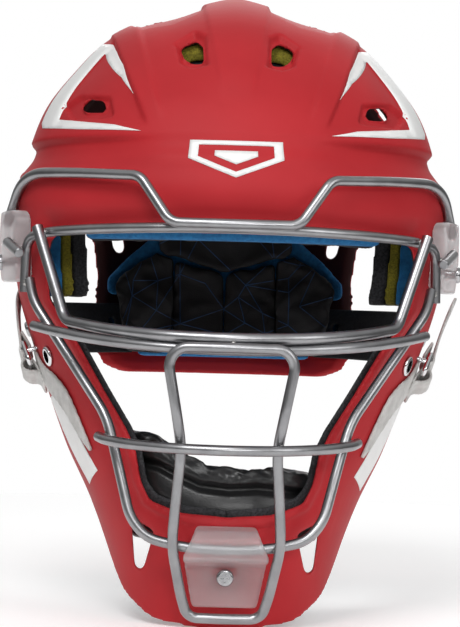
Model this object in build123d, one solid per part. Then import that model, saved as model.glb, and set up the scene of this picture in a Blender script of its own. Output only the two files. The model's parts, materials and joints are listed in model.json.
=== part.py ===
from build123d import *
import math
import os

# A two-piece baseball catcher's mask: a front shell with a wire cage, a floating back plate on
# elastic straps, and layered foam inside. Millimetres. +X is the wearer's left, -Y is forward,
# +Z is up. The origin is the middle of the head cavity, midway between the ears.

# ---------------------------------------------------------------- driving dimensions

# Outer skin by height: (z, half width, front, depth of the widest point, rear)
SKIN_LEVELS = [
    (-175, 44, -92, -62, 10),
    (-150, 51, -107, -60, 30),
    (-125, 57.5, -116, -45, 50),
    (-97, 69, -119, -26, 75),
    (-62, 85, -115, -6, 98),
    (-25, 99, -113, 4, 116),
    (15, 111, -114, 5, 126),
    (50, 112, -117, 5, 129),
    (68, 110, -117, 5, 128),
    (84, 105.5, -112, 5, 124),
    (104, 98, -102, 6, 114),
    (122, 85, -87, 7, 100),
    (141, 66.5, -65, 8, 79),
    (149, 51.5, -51, 8, 65),
    (157.5, 25.5, -27, 8, 41),
    (161.5, 10, -10, 8, 25),
]
CROWN_TIP = (0, 8, 163.5)
ROUNDNESS = 2.3  # exponent of the super-ellipse that each level is
LEVEL_POINTS = 24
CORE = (0, 5, 40)  # every inner layer is the skin scaled towards this point

# Layers, as shares of the outer skin's size
SHELL_INNER = 0.965
STRAP_LAYER = (0.946, 0.922)
JAW_LAYER = (0.958, 0.928)
CHIN_LAYER = (0.92, 0.80)
FOREHEAD_LAYERS = (0.961, 0.862, 0.828, 0.768)
TEMPLE_LAYERS = (0.961, 0.836, 0.792, 0.732)
CROWN_LAYERS = (0.961, 0.905, 0.860)
REAR_LAYERS = (0.961, 0.865, 0.832, 0.768)
LAYER_GAP = 0.002

WIRE_R = 2.5  # cage wire
EYE_WIRE_R = 2.8  # heavier wire round the eye opening
TIGHT_BEND = 9.0  # centre-line radius of the sharp corners
GENTLE_TURN = math.radians(40)
SCREW_R = 2.2
SCREW_HEAD_R = 4.2
SCREW_HEAD_H = 2.2
HOLE_PLAY = 0.15
FAR = 400  # long enough to run a cutter right through the part

SIDES = (("left", 1), ("right", -1))

# Front shell, seen from the side (y, z): what is kept of the skin
FRONT_SIDE = [
    (50, 180), (50, 140), (49, 100), (46, 60), (41, 20), (31, -15), (13, -45), (-18, -80),
    (-50, -115), (-78, -138), (-98, -149.5), (-112, -153), (-220, -154), (-220, 180),
]
# Face opening, right half seen from the front (x, z), from the brow down to the chin
FACE_HALF = [
    (0, 38.2), (60, 37.8), (88, 36.8), (91.5, 24), (89.5, 5), (75, -16), (61, -39), (50, -56),
    (44.5, -67), (41.5, -82), (37, -91), (22, -96), (0, -97.5),
]
# Chin pad, right half seen from the front (x, z); its top is dished for the chin
CHIN_PAD_HALF = [(9, -73), (24, -66.5), (35, -61), (46, -59), (46, -112)]
# Back plate, seen from the side (y, z)
REAR_SIDE = [
    (57, 180), (57, 146), (58, 120), (64, 96), (77, 72), (95, 50), (103.5, 38), (103.5, 18),
    (99, 2), (91, -18), (89, -30), (95, -34.5), (220, -34.5), (220, 180),
]
# Vents of the front shell, on the wearer's left, seen from the front (x, z)
FRONT_VENT = [(17, 132), (21, 135.8), (28.2, 132.2), (27, 126), (22.5, 123), (16.7, 123)]
SIDE_VENT = [(65, 103), (73.5, 104.8), (76.5, 101), (76, 98), (64.3, 97.5)]
CHIN_SLOT = [(34.5, -106), (45.5, -102), (43.5, -124), (41, -126), (39, -124)]
# Vents seen from above (x, y)
TOP_VENT = [(37, -12), (53, -6), (51, 22), (39, 24)]
# Back foam, right half seen from behind (x, z); it steps in to leave room for the side straps
REAR_FOAM_HALF = [(38, 96), (42, 42), (55, 30), (66, 18), (66, 9), (48.5, 9), (48.5, -25)]
# Back pads seen from behind (x, z): one above, and two side by side on each side below it
UPPER_PAD_HALF = [(38, 94), (38, 34), (20, 28), (0, 23)]
INNER_PAD = [(0.4, -23), (29, -23), (29, 30), (20, 27.3), (0.4, 22.2)]
OUTER_PAD = [
    (29.8, -23), (54, -23), (58.5, 0), (61, 12), (59.5, 19), (50, 26), (39, 33.2), (29.8, 30),
]
# Vents of the back plate, seen from behind (x, z)
EAR_VENT = [(57.5, 35), (60.5, 31.5), (63.5, 35), (69, 58), (62.5, 60)]
NAPE_VENT = [(14, 58), (28, 62), (27, 84), (15, 80)]

# Cage wires as the corners of their bends, from the middle outwards (x, y, z)
BROW_WIRE = [
    (0, -132.3, 42.2), (30.6, -129.8, 42.4), (45.8, -121.5, 64.6), (79, -99.5, 66.2),
    (104.8, -62, 67.4), (114.6, -24, 44),
]
TOP_WIRE = [
    (0, -127.1, 40.5), (34, -122.6, 40.1), (66, -107, 39.2), (90, -84, 37.8), (102, -67.5, 34.8),
    (102.6, -65.5, 8),
]
EYE_WIRE = [
    (0, -150.2, -11.8), (32, -145.7, -11.2), (60, -129, -9), (80.5, -101, -5.4),
    (96, -85.2, 40),
]
CROSS_WIRE = [
    (0, -148.6, -17.4), (34, -144.2, -16.5), (64, -130, -14.2), (85.4, -105.3, -10.8),
    (96.5, -81, -8.6),
]
JAW_WIRE = [
    (0, -129, -112.4), (20, -128, -111.5), (38, -125.5, -107.5), (46.2, -122, -98),
    (49.8, -118, -84), (54.6, -112, -66), (59, -107.6, -51), (97, -78, 3), (99.8, -70.4, 14),
]
LOOP_WIRE = [
    (0, -153.5, -16), (31, -150, -16.2), (25, -149.2, -48), (22.4, -141.6, -64),
    (24.6, -135.8, -92), (25.8, -133, -110), (20.8, -124.8, -135), (17.5, -121.8, -145.3),
    (0, -122.6, -145.6),
]
MOUTH_WIRE = [
    (0, -152.8, -63.8), (26, -148.8, -63.6), (48, -134.3, -62.8), (59.3, -118.2, -61.8),
    (62.5, -107.1, -61),
]
PEG = [(113, -48, 33), (105, -75.5, 27)]  # stub that the side clip grips

# Cheek strap seen from the side (y, z): pointed tip low at the front, square end at the buckle
STRAP_OUTLINE = [
    (-80.5, -69.5), (-71.5, -63.3), (-66.6, -58.6), (-61.9, -50.5), (-57, -46), (-45, -42.5),
    (-32, -39), (-20, -32), (-12.7, -21.5), (-25.3, -11.7), (-29.3, -20.5), (-36, -25.7),
    (-46, -29), (-58, -32), (-66.3, -36.5), (-69.8, -40.6), (-74.3, -48.6), (-78.4, -57.2),
]

# Places on the skin that carry hardware, seen from the side (y, z)
SIDE_CLIP_BOX = (-60, -13, 13, 49)
SIDE_CLIP_SCREW = (-31, 23)
BUCKLE = (-24, -26)
EYELET = (-54, -24)
STRAP_SCREW_FRONT = (12, -11)
STRAP_SCREW_REAR = (101, -9)
CHIN_SCREW_Z = -126
CROWN_SCREWS = (38, 70)  # depths on the centre line

# Back plate hinge line: the crown strap bends here
HINGE = (53, 150)


# ---------------------------------------------------------------- helpers

def signed_power(value, power):
    return math.copysign(abs(value) ** power, value)


def towards_core(point, share):
    return Vector(*(c + share * (p - c) for p, c in zip(point, CORE)))


def level_wire(level, share):
    """One horizontal outline of the skin, scaled towards the core."""
    z, half_width, front, middle, rear = level
    points = []
    for i in range(LEVEL_POINTS):
        turn = 2 * math.pi * i / LEVEL_POINTS
        across = signed_power(math.sin(turn), 2 / ROUNDNESS)
        along = signed_power(math.cos(turn), 2 / ROUNDNESS)
        depth = middle - front if along > 0 else rear - middle
        points.append(towards_core((half_width * across, middle - depth * along, z), share))
    spacing = [i / LEVEL_POINTS for i in range(LEVEL_POINTS + 1)]
    return Wire([Edge.make_spline(points, periodic=True, parameters=spacing)])


SIDE_LEVELS = [level for level in SKIN_LEVELS if -97 <= level[0] <= 141]  # jaw to temples


def skin(share, side_only=False):
    """The closed outer form of the mask, whole or beside the head, scaled towards the core."""
    if side_only:
        return Solid.make_loft([level_wire(level, share) for level in SIDE_LEVELS])
    sections = [level_wire(level, share) for level in SKIN_LEVELS]
    return Solid.make_loft(sections + [Vertex(*towards_core(CROWN_TIP, share))])


SKINS = {}


def layer(outer, inner, side_only=False):
    """What lies between two scaled skins."""
    for share in (outer, inner):
        if (share, side_only) not in SKINS:
            SKINS[share, side_only] = skin(share, side_only)
    return SKINS[outer, side_only] - SKINS[inner, side_only]


def side_prism(points, x_from=-FAR / 2, x_to=FAR / 2, radius=0):
    """An outline seen from the side (y, z), run along X."""
    face = rounded_face([(0, y, z) for y, z in points], radius)
    return Pos(x_from, 0, 0) * extrude(face, x_to - x_from, dir=(1, 0, 0))


def front_prism(points, y_from, y_to, radius=0):
    """An outline seen from the front (x, z), run along Y."""
    face = rounded_face([(x, 0, z) for x, z in points], radius)
    return Pos(0, y_from, 0) * extrude(face, y_to - y_from, dir=(0, 1, 0))


def top_prism(points, z_from, z_to, radius=0):
    """An outline seen from above (x, y), run along Z."""
    face = rounded_face([(x, y, 0) for x, y in points], radius)
    return Pos(0, 0, z_from) * extrude(face, z_to - z_from, dir=(0, 0, 1))


def rounded_face(points, radius):
    if radius:
        return make_face(FilletPolyline(*points, radius=radius, close=True))
    return make_face(Polyline(*points, close=True))


def slab(x, y, z):
    """A box between two limits on each axis."""
    size = [high - low for low, high in (x, y, z)]
    middle = [(high + low) / 2 for low, high in (x, y, z)]
    return Pos(*middle) * Box(*size)


def both_halves(points):
    """A right half outline, mirrored to the whole one."""
    return points + [(-x, z) for x, z in reversed(points) if x > 0]


def mirrored(shape, side):
    return shape if side > 0 else mirror(shape, about=Plane.YZ)


def bend_radii(points, closed):
    """Gentle turns take the largest bend that their two runs allow; sharp ones are bent tight."""
    count = len(points)
    corners = range(count) if closed else range(1, count - 1)
    radii = []
    for i in corners:
        before, here, after = (Vector(*points[(i + k) % count]) for k in (-1, 0, 1))
        run_in, run_out = here - before, after - here
        turn = math.radians(run_in.get_angle(run_out))
        largest = 0.45 * min(run_in.length, run_out.length) / math.tan(turn / 2)
        radii.append(largest if turn < GENTLE_TURN else min(largest, TIGHT_BEND))
    return radii


def wire_bar(half, radius, closed=False):
    """A round wire bent along a path that is the same on both sides."""
    path_points = [(-x, y, z) for x, y, z in reversed(half[1:])] + half
    if closed:
        path_points = path_points[1:]  # both halves end at the same middle point
    radii = bend_radii(path_points, closed)
    path = FilletPolyline(*path_points, radius=radii, close=closed)
    start = path @ 0
    section = Plane(origin=start, z_dir=path % 0) * Circle(radius)
    return sweep(section, path=path)


def rod(start, end, radius):
    start, end = Vector(*start), Vector(*end)
    return Plane(origin=start, z_dir=end - start) * Cylinder(
        radius, (end - start).length, align=(Align.CENTER, Align.CENTER, Align.MIN)
    )


def on_skin(share, start, direction):
    """Where a line from the inside meets a scaled skin, with the outward normal there."""
    if (share, False) not in SKINS:
        SKINS[share, False] = skin(share)
    start, direction = Vector(*start), Vector(*direction)
    hits = SKINS[share, False].find_intersection_points(Axis(start, direction))
    ahead = [h for h in hits if (h[0] - start).dot(direction) > 0]
    point, normal = min(ahead, key=lambda h: (h[0] - start).length)
    return point, normal if normal.dot(direction) > 0 else -normal


def side_spot(place, share=1.0):
    """A place on the wearer's left side of the skin, given as (y, z)."""
    return on_skin(share, (0, *place), (1, 0, 0))


def screw(point, normal, grip):
    """A pan-head cross-recess screw: its head rests on the point, its shank goes grip deep."""
    seat = Plane(origin=point, z_dir=normal)
    up = (Align.CENTER, Align.CENTER, Align.MIN)
    down = (Align.CENTER, Align.CENTER, Align.MAX)
    head = Cylinder(SCREW_HEAD_R, SCREW_HEAD_H, align=up)
    head = fillet(head.edges().sort_by(Axis.Z)[-1:], SCREW_HEAD_H * 0.6)
    for turn in (0, 90):
        slot = Pos(0, 0, SCREW_HEAD_H) * Rot(0, 0, turn) * Box(4.4, 0.9, 2.4)
        head -= slot
    return seat * (head + Cylinder(SCREW_R, grip, align=down))


def tee_nut(point, normal, depth):
    """The flanged nut inside the shell, its barrel round the screw's end."""
    seat = Plane(origin=point, z_dir=-normal)
    up = (Align.CENTER, Align.CENTER, Align.MIN)
    flange = Cylinder(5.5, 1.2, align=up)
    return seat * (flange + Cylinder(3.2, depth, align=up) - Cylinder(SCREW_R + 0.05, 3 * depth))


def screw_hole(point, normal, depth=30):
    return Plane(origin=point, z_dir=normal) * Cylinder(SCREW_R + HOLE_PLAY, depth)


nodes = {}


def keep(name, shape):
    nodes[name] = shape


# ---------------------------------------------------------------- shells

front_shell = layer(1.0, SHELL_INNER) & side_prism(FRONT_SIDE)
front_shell -= front_prism(both_halves(FACE_HALF), -FAR / 2, 0, radius=5)
rear_shell = layer(1.0, SHELL_INNER) & side_prism(REAR_SIDE)

for _, side in SIDES:
    front_shell -= mirrored(front_prism(FRONT_VENT, -FAR / 2, 0, radius=1.5), side)
    front_shell -= mirrored(front_prism(SIDE_VENT, -FAR / 2, 0, radius=1.5), side)
    front_shell -= mirrored(front_prism(CHIN_SLOT, -FAR / 2, 0, radius=1), side)
    front_shell -= mirrored(top_prism(TOP_VENT, 80, FAR / 2, radius=3), side)
    rear_shell -= mirrored(front_prism(EAR_VENT, 0, FAR / 2, radius=1.2), side)
    rear_shell -= mirrored(front_prism(NAPE_VENT, 0, FAR / 2, radius=3), side)

# ---------------------------------------------------------------- foam and pads

def stack(names, shares, region):
    """Foam layers from the shell inwards, each cut to the same region."""
    for name, outer, inner in zip(names, shares, shares[1:]):
        keep(name, layer(outer - LAYER_GAP, inner) & region)


stack(
    ("forehead_foam_firm", "forehead_foam_soft", "forehead_pad"),
    FOREHEAD_LAYERS,
    slab((-72, 72), (-150, -46), (34.8, 88)),
)
stack(
    ("crown_foam", "crown_pad"),
    CROWN_LAYERS,
    slab((-46, 46), (-66, 16), (100, 170)),
)
temple_region = side_prism([(-42, 6.5), (36, 6.5), (36, 72), (-42, 72)], x_from=0, radius=6)
jaw_region = side_prism(
    [(-130, 0), (-46, 0), (-30, -28), (-46, -70), (-72, -104), (-130, -104)], x_from=0
)
jaw_opening = front_prism(
    both_halves([(x - 3 if x > 3 else x, z + (3 if z < -90 else 0)) for x, z in FACE_HALF]),
    -FAR / 2, 0,
)
for name, side in SIDES:
    for part, outer, inner in zip(
        ("temple_foam_firm", "temple_foam_soft", "temple_pad"), TEMPLE_LAYERS, TEMPLE_LAYERS[1:]
    ):
        body = layer(outer - LAYER_GAP, inner, side_only=True) & temple_region
        keep(f"{part}_{name}", mirrored(body, side))
    keep(f"jaw_pad_{name}", mirrored((layer(*JAW_LAYER) & jaw_region) - jaw_opening, side))
keep("chin_pad", layer(*CHIN_LAYER) & front_prism(both_halves(CHIN_PAD_HALF), -150, -52))

stack(
    ("rear_foam_firm", "rear_foam_soft"),
    REAR_LAYERS[:3],
    front_prism(both_halves(REAR_FOAM_HALF), 58, 150, radius=3),
)
rear_pad_layer = layer(REAR_LAYERS[2] - LAYER_GAP, REAR_LAYERS[3])
keep("rear_pad_upper", rear_pad_layer & front_prism(both_halves(UPPER_PAD_HALF), 50, 150))
for name, side in SIDES:
    keep(f"rear_pad_inner_{name}", mirrored(rear_pad_layer & front_prism(INNER_PAD, 50, 150), side))
    keep(f"rear_pad_outer_{name}", mirrored(rear_pad_layer & front_prism(OUTER_PAD, 50, 150), side))

# ---------------------------------------------------------------- cage

keep("cage_brow_wire", wire_bar(BROW_WIRE, WIRE_R))
keep("cage_top_wire", wire_bar(TOP_WIRE, WIRE_R))
keep("cage_eye_wire", wire_bar(EYE_WIRE, EYE_WIRE_R))
keep("cage_cross_wire", wire_bar(CROSS_WIRE, WIRE_R))
keep("cage_jaw_wire", wire_bar(JAW_WIRE, WIRE_R))
keep("cage_centre_loop", wire_bar(LOOP_WIRE, WIRE_R, closed=True))
keep("cage_mouth_wire", wire_bar(MOUTH_WIRE, WIRE_R))

# ---------------------------------------------------------------- side clips and pegs

clip_y0, clip_y1, clip_z0, clip_z1 = SIDE_CLIP_BOX
clip_outline = [(clip_y0, clip_z0), (clip_y1, clip_z0), (clip_y1, clip_z1), (clip_y0, clip_z1)]
clip_body = layer(1.068, 1.003) & side_prism(clip_outline, x_from=0, radius=7)
brow_end = [BROW_WIRE[-2], BROW_WIRE[-1]]
overrun = Vector(*brow_end[1]) + (Vector(*brow_end[1]) - Vector(*brow_end[0])).normalized() * 3
clip_body -= rod(brow_end[0], overrun, WIRE_R + HOLE_PLAY)
clip_body -= rod(PEG[0], PEG[1], WIRE_R + HOLE_PLAY)
clip_point, clip_normal = side_spot(SIDE_CLIP_SCREW, 1.068)
clip_body -= screw_hole(clip_point, clip_normal)
front_hole_tools = [screw_hole(clip_point, clip_normal)]
inner_point, _ = on_skin(SHELL_INNER, clip_point - clip_normal * 40,
                         clip_normal)
clip_screw = screw(clip_point, clip_normal, 15)
clip_nut = tee_nut(inner_point - clip_normal * 0.6, clip_normal, 3.5)
peg = rod(PEG[0], PEG[1], WIRE_R)
peg = fillet(peg.edges(), 0.8)

# ---------------------------------------------------------------- cheek straps, buckles, eyelets

cheek_strap = layer(1.018, 1.004) & side_prism(STRAP_OUTLINE, x_from=40)

buckle_point, buckle_normal = side_spot(BUCKLE, 1.0)
strap_run = Vector(0.30, 0.50, 0.80)
strap_run = (strap_run - buckle_normal * strap_run.dot(buckle_normal)).normalized()
buckle_seat = Plane(origin=buckle_point, x_dir=strap_run, z_dir=buckle_normal)
BUCKLE_LIFT = 5.4  # bar height over the skin, clear of the webbing
BUCKLE_HALF = (6, 11)  # half length along the strap, half width across it
BUCKLE_WIRE_R = 1.4

frame_path = FilletPolyline(
    (-BUCKLE_HALF[0], -BUCKLE_HALF[1], BUCKLE_LIFT), (BUCKLE_HALF[0], -BUCKLE_HALF[1], BUCKLE_LIFT),
    (BUCKLE_HALF[0], BUCKLE_HALF[1], BUCKLE_LIFT), (-BUCKLE_HALF[0], BUCKLE_HALF[1], BUCKLE_LIFT),
    radius=2.4, close=True,
)
frame_section = Plane(origin=frame_path @ 0, z_dir=frame_path % 0) * Circle(BUCKLE_WIRE_R)
buckle = sweep(frame_section, path=frame_path)
for across in (-BUCKLE_HALF[1], BUCKLE_HALF[1]):
    buckle += rod((0, across, -0.4), (0, across, BUCKLE_LIFT), 1.2)
buckle = buckle_seat * buckle - skin(1.0005)

TAIL_LENGTH = 44
TAIL_WIDTH = 15
TAIL_T = 2.4
tail_axis = (BUCKLE_HALF[0], 0, BUCKLE_LIFT)
sleeve_r = BUCKLE_WIRE_R + 0.06
tail_sleeve = Pos(*tail_axis) * Rot(90, 0, 0) * Cylinder(sleeve_r + 1.5, TAIL_WIDTH)
tail_blade = Box(TAIL_LENGTH, TAIL_WIDTH, TAIL_T, align=(Align.MIN, Align.CENTER, Align.CENTER))
tail_blade = fillet(tail_blade.edges().filter_by(Axis.Z).sort_by(Axis.X)[-2:], 6)
tail_blade = Pos(*tail_axis) * Pos(1, 0, 1.2) * tail_blade
strap_tail = tail_sleeve + tail_blade
strap_tail -= Pos(*tail_axis) * Rot(90, 0, 0) * Cylinder(sleeve_r, FAR)
strap_tail = buckle_seat * strap_tail

eyelet_point, eyelet_normal = side_spot(EYELET, 1.0)
EYELET_R = 5.2
eyelet = Cylinder(EYELET_R, 1.4, align=(Align.CENTER, Align.CENTER, Align.MIN))
eyelet = fillet(eyelet.edges().sort_by(Axis.Z)[-1:], 1)
eyelet -= Cylinder(3.2, 10)
eyelet += Cylinder(3.8, 3.5, align=(Align.CENTER, Align.CENTER, Align.MAX)) - Cylinder(3.2, 30)
eyelet = Plane(origin=eyelet_point + eyelet_normal * 0.1, z_dir=eyelet_normal) * eyelet
eyelet_hole = Plane(origin=eyelet_point, z_dir=eyelet_normal) * Cylinder(3.95, 20)

# ---------------------------------------------------------------- elastic straps and their screws

side_strap = layer(*STRAP_LAYER) & side_prism(
    [(-24, -26), (112, -23), (112, 4), (-24, 3)], x_from=50.5, radius=2
)
crown_strap = layer(*STRAP_LAYER) & slab((-13, 13), (22, 84), (80, 170))

front_point, front_normal = side_spot(STRAP_SCREW_FRONT)
rear_point, rear_normal = on_skin(1.0, (40, 60, STRAP_SCREW_REAR[1]),
                                  (30, STRAP_SCREW_REAR[0] - 60, 0))
side_strap -= screw_hole(front_point, front_normal)
side_strap -= screw_hole(rear_point, rear_normal)
STRAP_GRIP = 9
front_hole_tools.append(screw_hole(front_point, front_normal))
rear_hole_tools = [screw_hole(rear_point, rear_normal)]

crown_spots = [on_skin(1.0, (0, y, 60), (0, 0, 1)) for y in CROWN_SCREWS]
for point, normal in crown_spots:
    crown_strap -= screw_hole(point, normal)
keep("crown_strap", crown_strap)
keep("crown_screw_front", screw(*crown_spots[0], STRAP_GRIP + 2))
keep("crown_screw_rear", screw(*crown_spots[1], STRAP_GRIP + 2))
front_shell -= screw_hole(*crown_spots[0])
rear_shell -= screw_hole(*crown_spots[1])

for name, side in SIDES:
    keep(f"cage_peg_{name}", mirrored(peg, side))
    keep(f"side_clip_{name}", mirrored(clip_body, side))
    keep(f"side_clip_screw_{name}", mirrored(clip_screw, side))
    keep(f"side_clip_nut_{name}", mirrored(clip_nut, side))
    keep(f"cheek_strap_{name}", mirrored(cheek_strap, side))
    keep(f"strap_buckle_{name}", mirrored(buckle, side))
    keep(f"strap_tail_{name}", mirrored(strap_tail, side))
    keep(f"strap_eyelet_{name}", mirrored(eyelet, side))
    keep(f"side_strap_{name}", mirrored(side_strap, side))
    keep(f"strap_screw_front_{name}", mirrored(screw(front_point, front_normal, STRAP_GRIP), side))
    keep(f"strap_screw_rear_{name}", mirrored(screw(rear_point, rear_normal, STRAP_GRIP), side))
    for tool in front_hole_tools + [eyelet_hole]:
        front_shell -= mirrored(tool, side)
    for tool in rear_hole_tools:
        rear_shell -= mirrored(tool, side)

# ---------------------------------------------------------------- chin clip

chin_point, _ = on_skin(1.0, (0, -60, CHIN_SCREW_Z), (0, -1, 0))
chin_forward = Vector(0, -1, 0)
CLIP_T = 2.4
hook_outer = [
    (chin_point.Y - 5.5, -140.5), (chin_point.Y - 5.5, -121.4), (-134.2, -117.5), (-134.2, -107.5),
    (-131, -103), (-122.5, -101), (-122.5, -103.6), (-129.4, -105.4), (-131.8, -108.4),
    (-131.8, -116.2), (chin_point.Y - 3.1, -120.2), (chin_point.Y - 3.1, -140.5),
]
clip_sides = [(14, -101), (20.5, -115.5), (15.5, -140.5)]
chin_clip = side_prism(hook_outer, -25, 25) & front_prism(
    both_halves([(x, z) for x, z in clip_sides]), -200, -50, radius=2
)
boss_top = Vector(0, chin_point.Y - 3.4, CHIN_SCREW_Z)
chin_boss = rod((0, chin_point.Y - 0.6, CHIN_SCREW_Z), boss_top, 7)
chin_clip += chin_boss - skin(1.001)
screw_seat = Vector(0, chin_point.Y - 5.5, CHIN_SCREW_Z)
chin_clip -= screw_hole(screw_seat, chin_forward)
front_shell -= screw_hole(screw_seat, chin_forward, 50)
chin_inner, _ = on_skin(SHELL_INNER, (0, -60, CHIN_SCREW_Z), (0, -1, 0))
keep("chin_clip", chin_clip)
keep("chin_clip_screw", screw(screw_seat, chin_forward, 15.5))
keep("chin_clip_nut", tee_nut(chin_inner - chin_forward * 2.4, chin_forward, 4))

keep("front_shell", front_shell)
keep("rear_shell", rear_shell)

# ---------------------------------------------------------------- output

os.makedirs("parts", exist_ok=True)
for node, shape in nodes.items():
    export_step(shape, f"parts/{node}.step")
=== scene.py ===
"""The looks of a two-piece catcher's mask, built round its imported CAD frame."""

import json
import math

import bpy
import numpy as np
from mathutils import Matrix, Vector
from mathutils.bvhtree import BVHTree
from mathutils.geometry import delaunay_2d_cdt


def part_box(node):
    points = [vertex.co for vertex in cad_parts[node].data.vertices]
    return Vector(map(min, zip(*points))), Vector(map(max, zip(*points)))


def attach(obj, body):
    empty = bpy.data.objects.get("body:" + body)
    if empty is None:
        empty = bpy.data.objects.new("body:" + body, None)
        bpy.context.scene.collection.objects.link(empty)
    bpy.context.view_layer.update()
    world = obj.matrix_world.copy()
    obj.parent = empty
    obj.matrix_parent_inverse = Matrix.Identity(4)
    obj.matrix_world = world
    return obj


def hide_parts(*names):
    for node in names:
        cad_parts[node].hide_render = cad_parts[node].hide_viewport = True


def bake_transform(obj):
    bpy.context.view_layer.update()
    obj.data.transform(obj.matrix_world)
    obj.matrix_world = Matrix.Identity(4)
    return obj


MM = 0.001
CORE = np.array((0.0, 5.0, 40.0))  # the skins are scaled towards this point
SIDES = (("left", 1), ("right", -1))

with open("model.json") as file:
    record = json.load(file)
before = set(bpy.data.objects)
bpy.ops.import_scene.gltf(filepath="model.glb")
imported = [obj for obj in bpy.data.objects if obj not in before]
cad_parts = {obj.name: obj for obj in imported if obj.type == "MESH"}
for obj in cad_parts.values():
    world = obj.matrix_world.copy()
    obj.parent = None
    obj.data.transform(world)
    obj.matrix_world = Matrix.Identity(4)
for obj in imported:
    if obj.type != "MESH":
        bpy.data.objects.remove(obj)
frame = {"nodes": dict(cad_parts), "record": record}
NODES = frame["nodes"]
BODY_OF = {n: b for b, ns in frame["record"]["behaviour"]["bodies"].items() for n in ns}
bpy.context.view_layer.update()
scene = bpy.context.scene

# ---------------------------------------------------------------- camera, light, floor

VIEW_YAW = math.radians(1.2)
VIEW_ROLL = math.radians(1.6)
AIM = Vector((0.0, -0.070, 0.0))
CAMERA_DISTANCE = 1.230
FRAME_HEIGHT = 0.3296 * CAMERA_DISTANCE / 1.3  # what the picture's height spans at the aim point

camera_data = bpy.data.cameras.new("camera")
camera_data.sensor_fit = "VERTICAL"
camera_data.sensor_height = 24.0
camera_data.lens = 24.0 * CAMERA_DISTANCE / FRAME_HEIGHT
camera_data.clip_start = 0.05
camera = bpy.data.objects.new("camera", camera_data)
toward = Vector((-math.sin(VIEW_YAW), -math.cos(VIEW_YAW), 0.0))
camera.location = AIM + toward * CAMERA_DISTANCE
camera.rotation_mode = "QUATERNION"
camera.rotation_quaternion = (-toward).to_track_quat("-Z", "Y") @ Matrix.Rotation(
    VIEW_ROLL, 3, "Z"
).to_quaternion()
scene.collection.objects.link(camera)
scene.camera = camera


def area_light(name, place, aim, size, power):
    data = bpy.data.lights.new(name, "AREA")
    data.shape = "RECTANGLE"
    data.size, data.size_y = size
    data.energy = power
    lamp = bpy.data.objects.new(name, data)
    lamp.location = place
    lamp.rotation_mode = "QUATERNION"
    lamp.rotation_quaternion = (Vector(aim) - Vector(place)).to_track_quat("-Z", "Y")
    scene.collection.objects.link(lamp)


area_light("key", (-0.35, -1.2, 1.15), (0, 0, 0.0), (0.7, 0.5), 12.5)
area_light("fill", (1.0, -1.0, 0.55), (0, 0, 0), (0.5, 0.8), 4)
area_light("front_low", (0.2, -1.6, 0.42), (0, 0.1, -0.03), (0.5, 0.16), 4.5)
area_light("back", (0.1, 1.2, 0.9), (0, 0, 0.05), (1.0, 0.8), 5)

# the studio is bright behind the mask and overhead, and dim low down in front of it
WORLD_LOW, WORLD_HIGH, WORLD_BACK = 0.12, 0.5, 1.0
world = bpy.data.worlds.new("studio")
world.use_nodes = True
world_nodes, world_links = world.node_tree.nodes, world.node_tree.links
facing = world_nodes.new("ShaderNodeSeparateXYZ")
world_links.new(world_nodes.new("ShaderNodeTexCoord").outputs["Generated"], facing.inputs[0])


def world_ramp(axis, start, end, low, high):
    ramp = world_nodes.new("ShaderNodeMapRange")
    ramp.interpolation_type = "SMOOTHSTEP"
    ramp.inputs["From Min"].default_value = start
    ramp.inputs["From Max"].default_value = end
    ramp.inputs["To Min"].default_value = low
    ramp.inputs["To Max"].default_value = high
    world_links.new(facing.outputs[axis], ramp.inputs["Value"])
    return ramp.outputs["Result"]


brighter = world_nodes.new("ShaderNodeMath")
brighter.operation = "MAXIMUM"
world_links.new(world_ramp("Y", 0.80, 0.97, 0.0, WORLD_BACK), brighter.inputs[0])
world_links.new(world_ramp("Z", 0.05, 0.6, WORLD_LOW, WORLD_HIGH), brighter.inputs[1])
world_links.new(brighter.outputs["Value"], world_nodes["Background"].inputs["Strength"])
world_nodes["Background"].inputs["Color"].default_value = (1, 1, 1, 1)
scene.world = world
scene.view_settings.view_transform = "Standard"

# ---------------------------------------------------------------- materials


def new_material(name):
    material = bpy.data.materials.new(name)
    material.use_nodes = True
    nodes = material.node_tree.nodes
    return material, nodes, material.node_tree.links, nodes["Principled BSDF"]


def add_coords(nodes, kind="Object"):
    return nodes.new("ShaderNodeTexCoord").outputs[kind]


def add_noise(nodes, links, coords, scale, detail=3.0, roughness=0.55):
    noise = nodes.new("ShaderNodeTexNoise")
    noise.inputs["Scale"].default_value = scale
    noise.inputs["Detail"].default_value = detail
    noise.inputs["Roughness"].default_value = roughness
    links.new(coords, noise.inputs["Vector"])
    return noise.outputs["Fac"]


def add_ramp(nodes, links, fac, stops):
    ramp = nodes.new("ShaderNodeValToRGB")
    elements = ramp.color_ramp.elements
    while len(elements) < len(stops):
        elements.new(0.5)
    for element, (place, colour) in zip(elements, stops):
        element.position = place
        element.color = (*colour, 1)
    links.new(fac, ramp.inputs["Fac"])
    return ramp.outputs["Color"]


def add_bump(nodes, links, height, shader, strength, distance, under=None):
    bump = nodes.new("ShaderNodeBump")
    bump.inputs["Strength"].default_value = strength
    bump.inputs["Distance"].default_value = distance
    links.new(height, bump.inputs["Height"])
    if under is not None:
        links.new(under, bump.inputs["Normal"])
    links.new(bump.outputs["Normal"], shader.inputs["Normal"])
    return bump.outputs["Normal"]


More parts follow.
